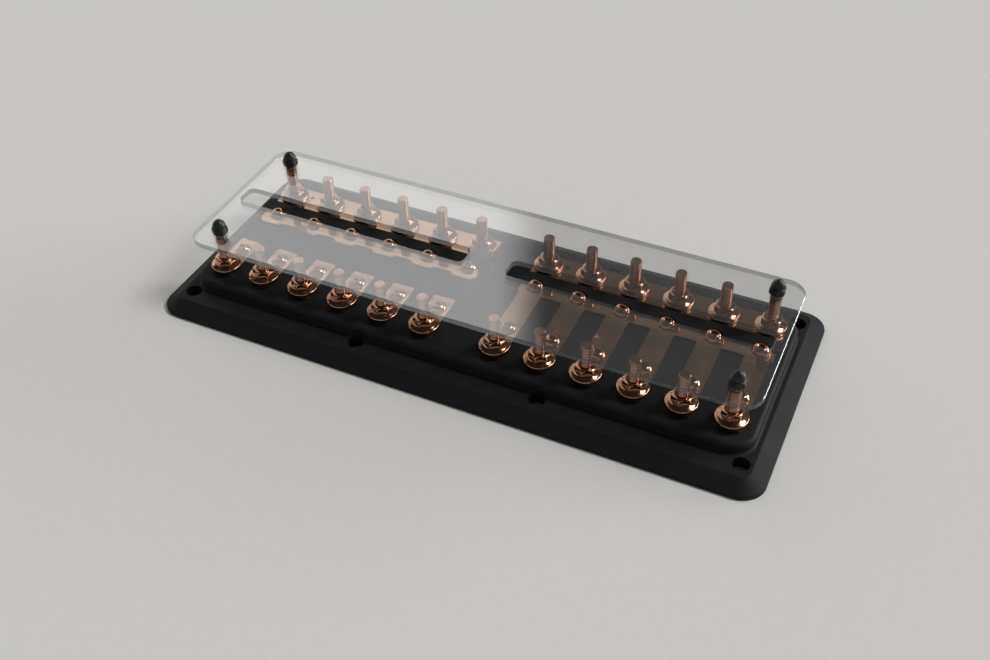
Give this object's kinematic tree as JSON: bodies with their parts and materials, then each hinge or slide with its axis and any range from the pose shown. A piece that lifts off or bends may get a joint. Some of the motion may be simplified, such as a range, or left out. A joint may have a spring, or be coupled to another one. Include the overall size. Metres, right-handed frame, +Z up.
{
  "type": "fuse box",
  "caption": "Low black fuse box with two groups of copper-plated circuits, a row of threaded cable studs along each long side and a clear cover on corner studs.",
  "frame": {"origin": "centre of the base's underside", "axes": "+X along the stud rows, +Y from the individually fused side to the back bus, +Z up through the cover"},
  "size_m": [0.273, 0.114, 0.0378],
  "materials": {
    "base_black": "fine moulded satin",
    "cover_clear": "clear polished sheet",
    "copper_plate": "smooth bright copper",
    "bronze_stud": "threaded, bright",
    "bronze_nut": "bright, rounded rims",
    "bronze_screw": "bright, domed",
    "brass_insert": "turned",
    "cap_black": "moulded satin"
  },
  "bodies": {
    "housing": {"base": "base_black", "bus_plate_left": "copper_plate", "bus_comb_right": "copper_plate", "front_plate_1": "copper_plate", "front_plate_2": "copper_plate", "front_plate_3": "copper_plate", "front_plate_4": "copper_plate", "front_plate_5": "copper_plate", "front_plate_6": "copper_plate", "front_studs": "bronze_stud", "back_studs": "bronze_stud", "corner_studs": "bronze_stud", "flange_nuts_front": "bronze_nut", "flange_nuts_back": "bronze_nut", "fuse_screws_front": "bronze_screw", "fuse_screws_back": "bronze_screw", "inserts_front": "brass_insert", "inserts_back": "brass_insert"},
    "cover": {"cover": "cover_clear"},
    "cap_nut_1": {"cap_nut_1": "cap_black"},
    "cap_nut_2": {"cap_nut_2": "cap_black"},
    "cap_nut_3": {"cap_nut_3": "cap_black"},
    "cap_nut_4": {"cap_nut_4": "cap_black"}
  },
  "joints": [
    {"name": "cover_lift", "type": "slide", "parent": "housing", "child": "cover", "axis": [0, 0, 1], "range_m": [0, 0.02]},
    {"name": "cap_nut_1_turn", "type": "hinge", "parent": "cover", "child": "cap_nut_1", "pos_m": [-0.11635, -0.0292, 0.0309], "axis": [0, 0, 1], "continuous": true},
    {"name": "cap_nut_2_turn", "type": "hinge", "parent": "cover", "child": "cap_nut_2", "pos_m": [0.11635, -0.0292, 0.0309], "axis": [0, 0, 1], "continuous": true},
    {"name": "cap_nut_3_turn", "type": "hinge", "parent": "cover", "child": "cap_nut_3", "pos_m": [0.11635, 0.0292, 0.0309], "axis": [0, 0, 1], "continuous": true},
    {"name": "cap_nut_4_turn", "type": "hinge", "parent": "cover", "child": "cap_nut_4", "pos_m": [-0.11635, 0.0292, 0.0309], "axis": [0, 0, 1], "continuous": true}
  ]
}
